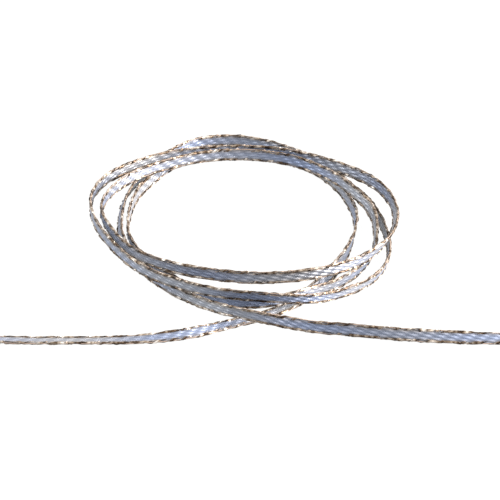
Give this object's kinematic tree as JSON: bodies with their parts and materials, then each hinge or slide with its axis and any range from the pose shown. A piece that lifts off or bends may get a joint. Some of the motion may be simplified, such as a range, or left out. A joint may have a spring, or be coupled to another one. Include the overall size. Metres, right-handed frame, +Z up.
{
  "type": "metallic ribbon",
  "caption": "Narrow woven satin ribbon with metallic thread along both edges, standing on edge in a loose open coil with two crossing tails.",
  "frame": {"origin": "middle of the footprint of the coil and its tails, on the surface that the ribbon rests on", "axes": "+X along the tails, from the left tail to the right one; +Y from the crossing tails to the back of the coil; +Z up, square to the surface"},
  "size_m": [0.1167, 0.0932, 0.0081],
  "materials": {
    "ribbon_satin": "woven polyester satin, silvery blue white, soft lengthwise sheen",
    "metallic_edge": "old gold metallic thread, wrapped foil, sparkling"
  },
  "bodies": {
    "root": {"ribbon": "ribbon_satin"}
  },
  "joints": []
}
